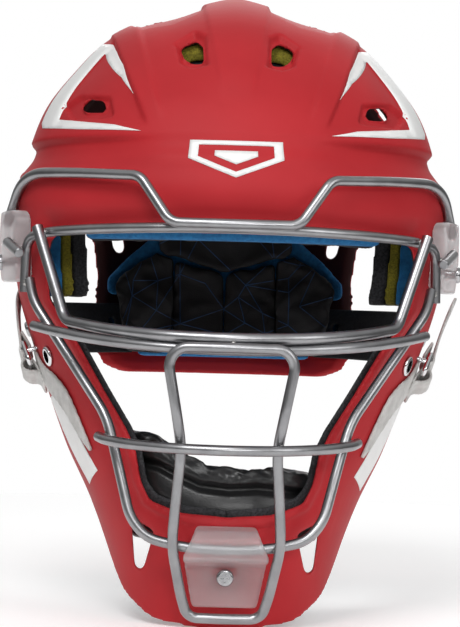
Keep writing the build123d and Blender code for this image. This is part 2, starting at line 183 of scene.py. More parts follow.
def grained(name, dark, light, scale, rough, metallic=0.0, bump=0.15, bump_m=0.0002, fine=2400):
    """A material whose colour drifts between two close tones under a fine surface grain."""
    material, nodes, links, shader = new_material(name)
    coords = add_coords(nodes)
    tone = add_noise(nodes, links, coords, scale)
    colour = add_ramp(nodes, links, tone, [(0.3, dark), (0.7, light)])
    links.new(colour, shader.inputs["Base Color"])
    shader.inputs["Roughness"].default_value = rough
    shader.inputs["Metallic"].default_value = metallic
    grain = add_noise(nodes, links, coords, fine, 2.0)
    add_bump(nodes, links, grain, shader, bump, bump_m)
    return material, nodes, links, shader


# Painted shade: a near-black colour for the inside of the red shells, standing in for the shade there;
# the lower rim keeps the red.
INSIDE_SHADE_COLOUR = (0.030, 0.006, 0.006, 1)
red, red_nodes, red_links, red_shader = grained(
    "matte_red_shell", (0.40, 0.016, 0.021), (0.46, 0.021, 0.027), 18, 0.55, bump=0.25,
    bump_m=0.00012, fine=2600,
)
red_shader.inputs["Specular IOR Level"].default_value = 0.2


def paint_inside_shade(nodes, links, shader):
    """Painted shade: the red shells' inner face is drawn near black above their lower rim, told by
    where it faces, standing in for the shade that falls inside them.
    """
    coords = nodes.new("ShaderNodeTexCoord")
    outward = nodes.new("ShaderNodeVectorMath")
    outward.operation = "SUBTRACT"
    links.new(coords.outputs["Object"], outward.inputs[0])
    outward.inputs[1].default_value = tuple(CORE * MM)
    facing = nodes.new("ShaderNodeVectorMath")
    facing.operation = "DOT_PRODUCT"
    links.new(coords.outputs["Normal"], facing.inputs[0])
    links.new(outward.outputs["Vector"], facing.inputs[1])
    inside = nodes.new("ShaderNodeMapRange")
    links.new(facing.outputs["Value"], inside.inputs["Value"])
    inside.inputs["From Min"].default_value = -0.012
    inside.inputs["From Max"].default_value = -0.045
    parts = nodes.new("ShaderNodeSeparateXYZ")
    links.new(coords.outputs["Object"], parts.inputs[0])
    above_rim = nodes.new("ShaderNodeMapRange")
    links.new(parts.outputs["Z"], above_rim.inputs["Value"])
    above_rim.inputs["From Min"].default_value = -0.020
    above_rim.inputs["From Max"].default_value = -0.010
    both = nodes.new("ShaderNodeMath")
    both.operation = "MULTIPLY"
    links.new(inside.outputs["Result"], both.inputs[0])
    links.new(above_rim.outputs["Result"], both.inputs[1])
    mix = nodes.new("ShaderNodeMix")
    mix.data_type = "RGBA"
    colour = shader.inputs["Base Color"].links[0].from_socket
    links.new(both.outputs["Value"], mix.inputs["Factor"])
    links.new(colour, mix.inputs["A"])
    mix.inputs["B"].default_value = INSIDE_SHADE_COLOUR
    links.new(mix.outputs["Result"], shader.inputs["Base Color"])


# Painted shade on the shells' inner face above the lower rim
paint_inside_shade(red_nodes, red_links, red_shader)
white, _, _, _ = grained("white_print", (0.78, 0.78, 0.77), (0.84, 0.84, 0.83), 60, 0.4)
steel, _, _, _ = grained(
    "satin_cage_steel", (0.29, 0.29, 0.30), (0.37, 0.37, 0.38), 90, 0.33, 1.0, 0.08, 0.0001, 900
)
weld, _, _, _ = grained(
    "weld_bead_steel", (0.30, 0.29, 0.28), (0.55, 0.54, 0.52), 700, 0.34, 1.0, 0.5, 0.0004, 1500
)
dark_steel, _, _, _ = grained(
    "screw_steel", (0.34, 0.34, 0.35), (0.5, 0.5, 0.51), 300, 0.22, 1.0, 0.1, 0.0001, 1800
)
chrome, _, _, _ = grained(
    "polished_chrome", (0.70, 0.70, 0.71), (0.80, 0.80, 0.81), 120, 0.09, 1.0, 0.04, 0.0001, 700
)
clip, _, _, clip_shader = grained(
    "frosted_clip", (0.80, 0.80, 0.81), (0.90, 0.90, 0.91), 90, 0.36, bump=0.2, bump_m=0.0003,
    fine=500,
)
clip_shader.inputs["Transmission Weight"].default_value = 0.80
clip_shader.inputs["Alpha"].default_value = 0.72
clip_shader.inputs["IOR"].default_value = 1.42
blue_foam, _, _, _ = grained(
    "blue_foam", (0.008, 0.115, 0.30), (0.020, 0.20, 0.46), 420, 0.85, bump=0.5, bump_m=0.0004,
    fine=1500,
)
yellow_foam, _, _, _ = grained(
    "yellow_foam", (0.115, 0.095, 0.004), (0.30, 0.26, 0.020), 1100, 0.9, bump=0.7, bump_m=0.0005,
    fine=1300,
)
black_foam, _, _, _ = grained(
    "black_foam", (0.006, 0.006, 0.007), (0.045, 0.045, 0.05), 900, 0.9, bump=0.7, bump_m=0.0005,
    fine=1200,
)
elastic, _, _, _ = grained(
    "black_elastic", (0.006, 0.006, 0.007), (0.022, 0.022, 0.025), 800, 0.8, bump=0.5,
    bump_m=0.0004, fine=1600,
)


def leather_material():
    material, nodes, links, shader = new_material("black_leather")
    coords = add_coords(nodes)
    tone = add_noise(nodes, links, coords, 30)
    colour = add_ramp(nodes, links, tone, [(0.3, (0.006, 0.006, 0.006)), (0.7, (0.016, 0.016, 0.017))])
    links.new(colour, shader.inputs["Base Color"])
    shader.inputs["Roughness"].default_value = 0.34
    pores = nodes.new("ShaderNodeTexVoronoi")
    pores.inputs["Scale"].default_value = 900
    links.new(coords, pores.inputs["Vector"])
    fine = add_bump(nodes, links, pores.outputs["Distance"], shader, 0.25, 0.0002)
    creases = add_noise(nodes, links, coords, 55, 1.0)
    add_bump(nodes, links, creases, shader, 0.3, 0.0010, fine)
    return material


def pad_fabric_material():
    """Black knit, softly creased."""
    material, nodes, links, shader = new_material("black_pad_fabric")
    coords = add_coords(nodes)
    tone = add_noise(nodes, links, coords, 60)
    colour = add_ramp(nodes, links, tone, [(0.3, (0.006, 0.006, 0.007)), (0.7, (0.011, 0.011, 0.013))])
    links.new(colour, shader.inputs["Base Color"])
    shader.inputs["Roughness"].default_value = 0.75
    knit = add_noise(nodes, links, coords, 1500, 1.0)
    fine = add_bump(nodes, links, knit, shader, 0.4, 0.0003)
    folds = add_noise(nodes, links, coords, 45, 2.0)
    add_bump(nodes, links, folds, shader, 0.35, 0.0012, fine)
    return material


def webbing_material():
    """White webbing: fine ribs across it."""
    material, nodes, links, shader = new_material("white_webbing")
    coords = add_coords(nodes)
    tone = add_noise(nodes, links, coords, 160)
    colour = add_ramp(nodes, links, tone, [(0.3, (0.55, 0.54, 0.52)), (0.7, (0.72, 0.71, 0.69))])
    links.new(colour, shader.inputs["Base Color"])
    shader.inputs["Roughness"].default_value = 0.5
    ribs = nodes.new("ShaderNodeTexWave")
    ribs.bands_direction = "X"
    ribs.inputs["Scale"].default_value = 55
    links.new(add_coords(nodes, "UV"), ribs.inputs["Vector"])
    add_bump(nodes, links, ribs.outputs["Fac"], shader, 0.6, 0.0004)
    return material


leather = leather_material()
pad_fabric = pad_fabric_material()
blue_thread, _, _, _ = grained(
    "blue_line_print", (0.008, 0.035, 0.10), (0.016, 0.065, 0.17), 90, 0.6
)
webbing = webbing_material()


def floor_material():
    material, nodes, links, shader = new_material("pale_floor")
    coords = add_coords(nodes)
    tone = add_noise(nodes, links, coords, 3)
    colour = add_ramp(nodes, links, tone, [(0.3, (0.88, 0.88, 0.88)), (0.7, (0.9, 0.9, 0.9))])
    links.new(colour, shader.inputs["Base Color"])
    shader.inputs["Roughness"].default_value = 0.9
    shader.inputs["Emission Color"].default_value = (1, 1, 1, 1)
    shader.inputs["Emission Strength"].default_value = 0.22
    return material


# ---------------------------------------------------------------- mesh tools


def smoothstep(low, high, value):
    t = np.clip((value - low) / (high - low), 0, 1)
    return t * t * (3 - 2 * t)


def hump(t):
    return np.where(np.abs(t) < 1, (1 - np.clip(t * t, 0, 1)) ** 2, 0)


def coords_mm(mesh):
    co = np.empty(len(mesh.vertices) * 3)
    mesh.vertices.foreach_get("co", co)
    return co.reshape(-1, 3) / MM


def set_coords_mm(mesh, points):
    mesh.vertices.foreach_set("co", (np.asarray(points) * MM).ravel())
    mesh.update()


def normals_of(mesh):
    out = np.empty(len(mesh.vertices) * 3)
    mesh.vertices.foreach_get("normal", out)
    return out.reshape(-1, 3)


def finish_piece(obj, body, material, stands_for=()):
    obj.data.materials.clear()
    obj.data.materials.append(material)
    for polygon in obj.data.polygons:
        polygon.use_smooth = True
        polygon.material_index = 0
    if stands_for:
        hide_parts(*stands_for)
    if body:
        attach(obj, body)
    return obj


def baked(obj):
    """Applies an object's modifiers to a mesh of its own."""
    bpy.context.view_layer.update()
    mesh = bpy.data.meshes.new_from_object(obj.evaluated_get(bpy.context.evaluated_depsgraph_get()))
    obj.modifiers.clear()
    obj.data = mesh
    return obj


def remade(node, voxel_mm, smoothing, factor=0.5):
    """A copy of a CAD node in even small faces with slightly rounded edges."""
    obj = bpy.data.objects.new(f"{node}_shown", NODES[node].data.copy())
    scene.collection.objects.link(obj)
    remesh = obj.modifiers.new("remesh", "REMESH")
    remesh.mode = "VOXEL"
    remesh.voxel_size = voxel_mm * MM
    soften = obj.modifiers.new("soften", "SMOOTH")
    soften.factor = factor
    soften.iterations = smoothing
    return baked(obj)


def dress(node, material):
    obj = NODES[node]
    obj.data.materials.clear()
    obj.data.materials.append(material)
    for polygon in obj.data.polygons:
        polygon.material_index = 0


def mesh_object(name, points_mm, faces):
    mesh = bpy.data.meshes.new(name)
    mesh.from_pydata([Vector(p) * MM for p in points_mm], [], faces)
    mesh.update()
    obj = bpy.data.objects.new(name, mesh)
    scene.collection.objects.link(obj)
    return obj


def tree_of(mesh):
    return BVHTree.FromPolygons([v.co for v in mesh.vertices], [p.vertices for p in mesh.polygons])


def outside_distance(px, py, outline):
    """How far each point lies outside a closed outline; 0 inside it."""
    corners = np.array(outline, float)
    nearest = np.full(px.shape, 1e9)
    inside = np.zeros(px.shape, bool)
    for (ax, ay), (bx, by) in zip(corners, np.roll(corners, -1, 0)):
        ex, ey = bx - ax, by - ay
        t = np.clip(((px - ax) * ex + (py - ay) * ey) / (ex * ex + ey * ey), 0, 1)
        nearest = np.minimum(nearest, np.hypot(px - ax - t * ex, py - ay - t * ey))
        crosses = (ay > py) != (by > py)
        with np.errstate(divide="ignore", invalid="ignore"):
            cut = ax + (py - ay) * ex / (ey if ey else 1e-9)
        inside ^= crosses & (px < cut)
    return np.where(inside, 0, nearest)


# ---------------------------------------------------------------- shells

# Recesses round the vents, a little larger than the holes (x, z) and (x, y)
FRONT_VENT_RECESS = [(30, 134), (21.5, 139.5), (17, 137), (15.6, 122), (22, 121.4), (27.6, 124.2)]
SIDE_VENT_RECESS = [(86, 102), (78.7, 106.5), (64, 105), (62, 96.4), (81.5, 95.6)]
TOP_VENT_RECESS = [
    (17, -28), (22, -39), (34, -45), (47, -41), (52, -30), (54, 24), (38, 26), (20, 20),
]
GROOVE_TOP, GROOVE_LOW, GROOVE_DEPTH = 84.5, 66.0, 4.0
GROOVE_MIDDLE = 77.0
FACE_EDGE = [
    (91, 24), (89.5, 5), (75, -16), (61, -39), (50, -56), (44.5, -67), (41.5, -82), (37, -91),
    (22, -96), (0, -97.5),
]
FACE_OUTLINE = FACE_EDGE + [(-px, pz) for px, pz in reversed(FACE_EDGE[:-1])]
RIM_W = 4.0  # raised border round the lower face opening
CHIN_PANEL_HALF = 19.5
BAND_Z, BAND_RISE = 57.0, 1.6
GABLE_RISE, GABLE_HALF = 1.6, 26.0  # the crown comes to a soft ridge along its middle
RIDGE_RISE, VALLEY_SINK, SIDE_BAND_RISE, WINDOW_SINK = 1.0, 1.0, 1.3, 1.5
RIM_RISE, RIM_GUTTER, CHIN_PANEL_RISE = 0.9, 0.7, 1.0
JAW_TUCK = 1.8
BROW_LIP = 3.2  # how far the brow turns in above the face opening


VENT_RECESSES = (  # outline, the plane it is drawn on, how deep
    (FRONT_VENT_RECESS, "front", 3.0),
    (SIDE_VENT_RECESS, "front", 2.2),
    (TOP_VENT_RECESS, "top", 1.6),
)


def vent_sink(side, y, z):
    """How far the skin is sunk round the vents."""
    sunk = np.zeros(side.shape)
    for outline, plane, depth in VENT_RECESSES:
        v, there = (z, y < -20) if plane == "front" else (y, z > 90)
        sunk += depth * np.where(there, 1 - smoothstep(0.2, 1.2, outside_distance(side, v, outline)), 0)
    return sunk


def crown_relief(side, turn, y, z):
    """The crown's ridge, the creases beside it, the raised bands and the sunk side windows."""
    crown = smoothstep(101, 122, z)
    ridge_half = 8 + (z - 108) * 0.189
    crease_at = 37.9 + (z - 99.8) * 0.27
    window_at = 46.6 + (z - 97.2) * 0.397
    rise = RIDGE_RISE * crown * (1 - smoothstep(ridge_half - 0.9, ridge_half + 0.9, side))
    rise += GABLE_RISE * crown * np.maximum(0, 1 - side / GABLE_HALF)
    valley = (side - (ridge_half + crease_at) / 2) / ((crease_at - ridge_half) / 2)
    rise -= VALLEY_SINK * crown * hump(valley)
    beyond = smoothstep(window_at - 1.0, window_at + 1.0, side)
    band = smoothstep(crease_at - 1.6, crease_at + 0.8, side) * (1 - beyond)
    rise += SIDE_BAND_RISE * smoothstep(90, 106, z) * band * smoothstep(46, 26, y)
    window = beyond * smoothstep(89, 94, z)
    rise -= WINDOW_SINK * window * (1 - smoothstep(54, 57, turn)) * smoothstep(4, -14, y)
    return rise


def brow_relief(side, y, z):
    """The groove round the brow, the band under it and the lip over the face opening."""
    ahead = smoothstep(46, 26, y)
    flank = smoothstep(34, 70, side)
    groove = smoothstep(GROOVE_LOW, GROOVE_TOP - 5, z)
    groove = groove * smoothstep(GROOVE_TOP + 0.8, GROOVE_TOP - 1.6, z)
    rise = -GROOVE_DEPTH * flank * groove * ahead
    rise -= 1.0 * (1 - flank) * hump((z - 81) / 7) * ahead
    rise += BAND_RISE * hump((z - BAND_Z) / 13) * ahead
    rise += 0.6 * hump((z - 68.5) / 2.2) * flank * ahead
    lip = smoothstep(51, 37, z) * smoothstep(34, 36, z) * smoothstep(97, 90, side)
    return rise - BROW_LIP * lip * smoothstep(-20, -40, y)


def jaw_relief(x, y, z):
    """The tucked jaw, the bead round the face opening and the raised panel under the chin clip."""
    side = np.abs(x)
    rise = -JAW_TUCK * smoothstep(-68, -98, z) * smoothstep(30, 46, side)
    low = smoothstep(14, -6, z) * smoothstep(-20, -40, y)
    rim = outside_distance(x, z, FACE_OUTLINE)
    rise += RIM_RISE * low * (1 - smoothstep(RIM_W - 0.8, RIM_W + 0.8, rim))
    rise -= RIM_GUTTER * low * hump((rim - RIM_W - 2.4) / 2.6)
    panel = 1 - smoothstep(CHIN_PANEL_HALF - 1, CHIN_PANEL_HALF + 1, side)
    return rise + CHIN_PANEL_RISE * panel * smoothstep(-96, -101, z) * smoothstep(-50, -70, y)


def front_relief(x, y, z):
    """How far the front shell's outer face stands off its plain form, in millimetres."""
    side = np.abs(x)
    turn = np.degrees(np.arctan2(side, CORE[1] - y))
    rise = brow_relief(side, y, z) + crown_relief(side, turn, y, z) + jaw_relief(x, y, z)
    return rise - vent_sink(side, y, z)


def rear_relief(x, y, z):
    """The rear plate's broad spine, the hollows beside it and the groove carried round the side."""
    side = np.abs(x)
    spine = 12 + (z + 40) * 0.06
    rise = 1.6 * (1 - smoothstep(spine - 2.5, spine + 2.5, side)) * smoothstep(-30, 0, z)
    rise -= 1.2 * hump((side - 44) / 9) * smoothstep(-25, 5, z) * (1 - smoothstep(95, 120, z))
    rise -= 1.6 * hump((z - GROOVE_MIDDLE) / 10) * smoothstep(30, 60, side)
    return rise


def shell_piece(node, relief):
    """The shell with its moulded relief on the outer face and softly rounded rims."""
    obj = remade(node, 1.2, 5)
    points, normals = coords_mm(obj.data), normals_of(obj.data)
    out = points - CORE
    out /= np.linalg.norm(out, axis=1)[:, None]
    facing = smoothstep(0.1, 0.75, np.einsum("ij,ij->i", normals, out))
    rise = relief(points[:, 0], points[:, 1], points[:, 2]) * facing
    set_coords_mm(obj.data, points + out * rise[:, None])
    soften = obj.modifiers.new("soften", "SMOOTH")
    soften.factor, soften.iterations = 0.5, 2
    baked(obj)
    return finish_piece(obj, BODY_OF[node], red, [node])


front_shell = shell_piece("front_shell", front_relief)
rear_shell = shell_piece("rear_shell", rear_relief)
front_tree = tree_of(front_shell.data)

# ---------------------------------------------------------------- printed marks

PRINT_LIFT, PRINT_T = 0.12, 0.12
PRINT_STEP = 1.6  # millimetres between the points of a printed mark
AROUND = 1.75  # millimetres of skin to one degree of turn, about
# Outlines wound over the skin: (degrees from straight ahead, height)
CHEVRON = [
    (69.5, 137), (68.8, 116), (67.9, 94.5), (64.4, 91.3), (42, 88.6), (23.2, 87.2), (31, 90.4),
    (54.8, 94.8), (55.2, 112), (55.2, 130), (45, 122.5), (36, 115.4), (28.4, 106.2), (37.5, 122.3),
    (46.5, 129.8), (55.5, 135.2),
]
CHEEK_BAND = [
    (55.8, -42), (50.3, -52), (42.7, -66.5), (36.4, -79), (44.5, -87), (54, -72), (63, -58),
    (71, -46),
]
PLATE_MARK = [(-11, 83), (11, 83), (11, 74), (0, 65), (-11, 74)]
PLATE_MARK_INNER = [(-8.8, 80.8), (8.8, 80.8), (8.8, 75), (0, 67.8), (-8.8, 75)]
PLATE_MARK_CORE = [(-5, 78), (5, 78), (5, 75.4), (0, 71.4), (-5, 75.4)]


def inside_outline(points, outline):
    return outside_distance(points[:, 0], points[:, 1], outline) == 0


def dense_loop(outline, step):
    loop = []
    for start, end in zip(outline, outline[1:] + outline[:1]):
        start, end = np.array(start, float), np.array(end, float)
        count = max(1, int(np.linalg.norm(end - start) / step))
        loop += [start + (end - start) * i / count for i in range(count)]
    return loop


def print_on_shell(name, outline, side=1, hole=None):
    """A thin printed mark that follows the shell, from an outline in (degrees, height)."""
    scaled = [(a * AROUND, z) for a, z in outline]
    points = dense_loop(scaled, PRINT_STEP)
    edges = [(i, (i + 1) % len(points)) for i in range(len(points))]
    hole_scaled = [(a * AROUND, z) for a, z in hole] if hole else None
    if hole:
        first = len(points)
        ring = dense_loop(hole_scaled, PRINT_STEP)
        points += ring
        edges += [(first + i, first + (i + 1) % len(ring)) for i in range(len(ring))]
    low, high = np.min(points, 0), np.max(points, 0)
    grid = np.array([
        (u, v)
        for u in np.arange(low[0], high[0], PRINT_STEP)
        for v in np.arange(low[1], high[1], PRINT_STEP)
    ])
    keep = inside_outline(grid, scaled)
    if hole:
        keep &= ~inside_outline(grid, hole_scaled)
    loops = np.array(points)
    keep &= np.array([np.min(np.hypot(*(loops - g).T)) > 0.6 * PRINT_STEP for g in grid])
    points += list(grid[keep])
    flat, _, faces, *_ = delaunay_2d_cdt([Vector(p) for p in points], edges, [], 1, 1e-4)
    middles = np.array([np.mean([flat[i] for i in f], 0) for f in faces])
    shown = inside_outline(middles, scaled)
    if hole:
        shown &= ~inside_outline(middles, hole_scaled)
    placed, lifted = [], []
    for u, z in flat:
        turn = math.radians(u / AROUND) * side
        inward = Vector((-math.sin(turn), math.cos(turn), 0))
        start = Vector((0, 0.005, z * MM)) - inward * 0.25
        spot, normal, _, _ = front_tree.ray_cast(start, inward)
        placed.append(spot / MM + normal * PRINT_LIFT)
        lifted.append(spot / MM + normal * (PRINT_LIFT + PRINT_T))
    count = len(placed)
    tops = [tuple(f) for f, s in zip(faces, shown) if s]
    if side < 0:
        tops = [f[::-1] for f in tops]
    directed = {(a, b) for f in tops for a, b in zip(f, f[1:] + f[:1])}
    rims = [(a, b) for a, b in directed if (b, a) not in directed]
    all_faces = [tuple(i + count for i in f) for f in tops] + [f[::-1] for f in tops]
    all_faces += [(a, b, b + count, a + count) for a, b in rims]
    obj = mesh_object(name, placed + lifted, all_faces)
    finish_piece(obj, "front", white)
    return obj


for name, side in SIDES:
    print_on_shell(f"crown_chevron_{name}", CHEVRON, side)
    print_on_shell(f"cheek_band_{name}", CHEEK_BAND, side)
print_on_shell("front_mark_outline", PLATE_MARK, 1, PLATE_MARK_INNER)
print_on_shell("front_mark_core", PLATE_MARK_CORE, 1)

# ---------------------------------------------------------------- foam and pads

CLOTH_FRAMES = 14
PAD_PUFF_CAP = 2.2


def foam_piece(node, material, voxel=1.8, smoothing=3):
    obj = finish_piece(remade(node, voxel, smoothing), BODY_OF[node], material, [node])
    return obj


def stuffed_piece(
    node, material, voxel=4.0, pressure=5.0, shrink=-0.08, rounds=1, sculpt=None
):
    """A covered pad: the cover is blown up a little from the inside while its back stays sewn down."""
    obj = remade(node, voxel, 3)
    rest = coords_mm(obj.data)
    out = rest - CORE
    out /= np.linalg.norm(out, axis=1)[:, None]
    backing = np.einsum("ij,ij->i", normals_of(obj.data), out) > 0.35
    pins = obj.vertex_groups.new(name="sewn")
    pins.add([int(i) for i in np.flatnonzero(backing)], 1.0, "REPLACE")
    cloth = obj.modifiers.new("cloth", "CLOTH")
    settings = cloth.settings
    settings.quality = 6
    settings.mass = 0.25
    settings.tension_stiffness = settings.compression_stiffness = 12
    settings.shear_stiffness = 6
    settings.bending_stiffness = 0.4
    settings.use_pressure = True
    settings.uniform_pressure_force = pressure
    settings.shrink_min = shrink
    settings.vertex_group_mass = "sewn"
    settings.effector_weights.gravity = 0
    cloth.point_cache.frame_start = 1
    cloth.point_cache.frame_end = CLOTH_FRAMES
    for step in range(1, CLOTH_FRAMES + 1):
        scene.frame_set(step)
    baked(obj)
    scene.frame_set(1)
    moved = coords_mm(obj.data) - rest
    length = np.linalg.norm(moved, axis=1)
    share = np.minimum(1, PAD_PUFF_CAP / np.maximum(length, 1e-6))
    set_coords_mm(obj.data, rest + moved * share[:, None])
    obj.vertex_groups.clear()
    rounder = obj.modifiers.new("rounder", "SUBSURF")
    rounder.levels = rounder.render_levels = rounds
    baked(obj)
    if sculpt:
        set_coords_mm(obj.data, sculpt(coords_mm(obj.data), normals_of(obj.data)))
    finish_piece(obj, BODY_OF[node], material, [node])
    return obj


# The chin pad hangs lower on the wearer's left: how far its top edge drops there, by x
CHIN_DROP = ((-9, 0, 9, 15, 24, 35, 46), (0, 0.8, 1.5, 4.5, 8, 15.5, 19.5))
# The fold between its upper roll and its body, by x
CHIN_FOLD = ((-46, -33, -22, -13, 1, 15, 30, 42), (-72.5, -75, -80, -83.8, -85.2, -84.4, -85.8, -88))


def sculpt_chin(points, normals):
    x, y, z = points.T
    top = -np.interp(np.abs(x), (9, 24, 35, 46), (73, 66.5, 61, 59))
    share = np.clip((z + 106) / (top + 106), 0, 1.1) ** 1.3
    z = z - np.interp(x, *CHIN_DROP) * share
    above = z - np.interp(x, *CHIN_FOLD)
    front = smoothstep(0.05, 0.6, -normals[:, 1])
    push = 3.0 * hump((above + 12) / 14) + 1.6 * hump((above - 5) / 6) - 3.4 * hump(above / 3.4)
    rays = np.arctan2(above + 1.5, x - 0.5)
    puckers = np.sin(rays * 21 + 0.35 * x) * hump((x - 12) / 26) * hump((above - 4.5) / 6)
    push += 0.22 * puckers + 0.10 * np.sin(x * 0.9 + above * 1.7) * hump((above - 5) / 7)
    push *= front
    return np.stack([x, y - push, z], 1)


foam_piece("forehead_foam_firm", blue_foam)
foam_piece("forehead_foam_soft", yellow_foam)
stuffed_piece("forehead_pad", pad_fabric)
foam_piece("crown_foam", yellow_foam)
stuffed_piece("crown_pad", pad_fabric)
rear_pads = []
for name, _ in SIDES:
    foam_piece(f"temple_foam_firm_{name}", blue_foam, 1.2, 2)
    foam_piece(f"temple_foam_soft_{name}", yellow_foam, 1.2, 1)
    foam_piece(f"temple_pad_{name}", black_foam, 1.4, 2)
    foam_piece(f"jaw_pad_{name}", black_foam, 1.3, 2)
    for part in ("inner", "outer"):
        rear_pads.append(stuffed_piece(f"rear_pad_{part}_{name}", pad_fabric, 3.0))
foam_piece("rear_foam_firm", blue_foam)
foam_piece("rear_foam_soft", blue_foam)
rear_pads.append(stuffed_piece("rear_pad_upper", pad_fabric))
stuffed_piece("chin_pad", leather, 3.0, 9.0, -0.18, 2, sculpt_chin)

# ---------------------------------------------------------------- printed lines on the back pads

LINE_HALF = 0.26
LINE_STEP = 1.2
LINE_LIFT = 0.15
LINE_FIELD = ((-64, 64), (-26, 96))  # the (x, z) field that the net of lines is drawn on
LINE_NODES = 62


def line_net():
    """A net of triangles between scattered points, with some of its lines left out."""
    rng = np.random.default_rng(23)
    (x_low, x_high), (z_low, z_high) = LINE_FIELD
    points = [(x_low, z_low), (x_high, z_low), (x_low, z_high), (x_high, z_high)]
    while len(points) < LINE_NODES:
        spot = (rng.uniform(x_low, x_high), rng.uniform(z_low, z_high))
        if min(math.dist(spot, p) for p in points) > 8:
            points.append(spot)
    flat, edges, *_ = delaunay_2d_cdt([Vector(p) for p in points], [], [], 0, 1e-4)
    return [(flat[a], flat[b]) for a, b in edges if rng.random() < 0.8]


def lines_on(pads, body):
    trees = [tree_of(pad.data) for pad in pads]
    points, faces = [], []
    for start, end in line_net():
        run = end - start
        across = Vector((-run.y, 0, run.x)).normalized()
        steps = max(2, int(run.length / LINE_STEP))
        previous = None
        for i in range(steps + 1):
            u, v = start + run * i / steps
            hits = [t.ray_cast(Vector((u * MM, 0.02, v * MM)), Vector((0, 1, 0))) for t in trees]
            hits = [h for h in hits if h[0] is not None and h[1].y < -0.35]
            if not hits:
                previous = None
                continue
            spot, normal, _, gap = min(hits, key=lambda h: h[3])
            rows = [
                spot / MM + normal * lift + across * LINE_HALF * hand
                for lift in (0.0, LINE_LIFT)
                for hand in (-1, 1)
            ]
            here = len(points)
            points += rows
            if previous is not None and abs(gap - previous[1]) < 0.003:
                a, b = previous[0], here
                faces += [
                    (a + 2, a + 3, b + 3, b + 2), (a + 1, a, b, b + 1),
                    (a, a + 2, b + 2, b), (a + 3, a + 1, b + 1, b + 3),
                ]
            previous = (here, gap)
    obj = mesh_object("rear_pad_lines", points, faces)
    finish_piece(obj, body, blue_thread)
    return obj


lines_on(rear_pads, "rear_plate")

# ---------------------------------------------------------------- straps

HINGE_STRAPS = (
    ("side_strap_left", (0.0, 0.040, 0.0), (0.0, 0.092, 0.0)),
    ("side_strap_right", (0.0, 0.040, 0.0), (0.0, 0.092, 0.0)),
    ("crown_strap", (0.0, 0.044, 0.15), (0.0, 0.064, 0.15)),
)
for node, start, end in HINGE_STRAPS:
    strap = finish_piece(remade(node, 0.9, 2), None, elastic, [node])
    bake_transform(strap)


def ribbon(name, path, across, width, thickness, body, stands_for=(), taper=None, ribs=0.35):
    """Flat webbing along a path of (point, outward normal) pairs, all in millimetres."""
    points, faces, uvs = [], [], []
    steps = len(path)
    travelled = 0.0
    columns = (-1.0, -0.82, -0.4, 0.0, 0.4, 0.82, 1.0)
    for i, (centre, normal) in enumerate(path):
        centre, normal = np.array(centre, float), np.array(normal, float)
        if i:
            travelled += float(np.linalg.norm(centre - last))
        last = centre
        sideways = np.array(across[i] if isinstance(across, list) else across, float)
        half = width / 2 * (taper[i] if taper else 1.0)
        rib = ribs * (1 if int(travelled / 0.9) % 2 else 0)
        for face_side in (1, -1):
            for c in columns:
                edge = abs(c) > 0.9
                lift = thickness / 2 * (0.55 if edge else 1.0)
                reach = half * c + (rib * (1 if c > 0 else -1) if edge else 0)
                points.append(centre + sideways * reach + normal * face_side * lift)
                uvs.append((travelled * MM * 10, c))
    count = len(columns)
    for i in range(steps - 1):
        a, b = i * 2 * count, (i + 1) * 2 * count
        for k in range(count - 1):
            faces.append((a + k, a + k + 1, b + k + 1, b + k))
            faces.append((a + count + k, b + count + k, b + count + k + 1, a + count + k + 1))
        faces.append((a, b, b + count, a + count))
        faces.append((a + count - 1, a + 2 * count - 1, b + 2 * count - 1, b + count - 1))
    for base, order in ((0, 1), ((steps - 1) * 2 * count, -1)):
        for k in range(count - 1):
            quad = (base + k, base + count + k, base + count + k + 1, base + k + 1)
            faces.append(quad[::order])
    obj = mesh_object(name, points, faces)
    layer = obj.data.uv_layers.new(name="UVMap")
    for loop in obj.data.loops:
        layer.data[loop.index].uv = uvs[loop.vertex_index]
    finish_piece(obj, body, webbing, stands_for)
    return obj


def spline_points(points, count):
    """Evenly spread points on a smooth curve through the given ones."""
    points = np.array(points, float)
    padded_points = np.vstack([2 * points[0] - points[1], points, 2 * points[-1] - points[-2]])
    fine = []
    for a, b, c, d in zip(padded_points, padded_points[1:], padded_points[2:], padded_points[3:]):
        for t in np.linspace(0, 1, 40, endpoint=False):
            fine.append(0.5 * (
                2 * b + (c - a) * t + (2 * a - 5 * b + 4 * c - d) * t * t
                + (3 * b - a - 3 * c + d) * t ** 3
            ))
    fine.append(points[-1])
    fine = np.array(fine)
    along = np.concatenate([[0], np.cumsum(np.linalg.norm(np.diff(fine, axis=0), axis=1))])
    wanted = np.linspace(0, along[-1], count)
    return np.stack([np.interp(wanted, along, fine[:, k]) for k in range(fine.shape[1])], 1)


# The buckle's own frame on the left side: origin on the skin, x along the strap, z off the skin
BUCKLE_ORIGIN = np.array((96.952, -24.0, -26.0))
BUCKLE_X = np.array((0.33897, 0.50092, 0.79635))
BUCKLE_Y = np.array((0.06804, -0.85730, 0.51030))
BUCKLE_Z = np.array((0.93834, -0.11879, -0.32468))
WEBBING_W, WEBBING_T = 13.5, 1.6
FOLD_W, FOLD_T = WEBBING_W - 0.5, 1.5  # the webbing where it is folded and loose
STRAP_POINTS, STRAP_TIP_POINTS = 60, 26
FOLD_POINTS = 44
TAIL_POINTS, TAIL_TIP_POINTS = 70, 10
STRAP_LINE = [  # the middle of the strap over the cheek, seen from the side (y, z)
    (-80, -69), (-75, -61.5), (-69.5, -53), (-63.5, -45), (-55, -39.3), (-45, -36), (-35, -32),
    (-27, -26),
]
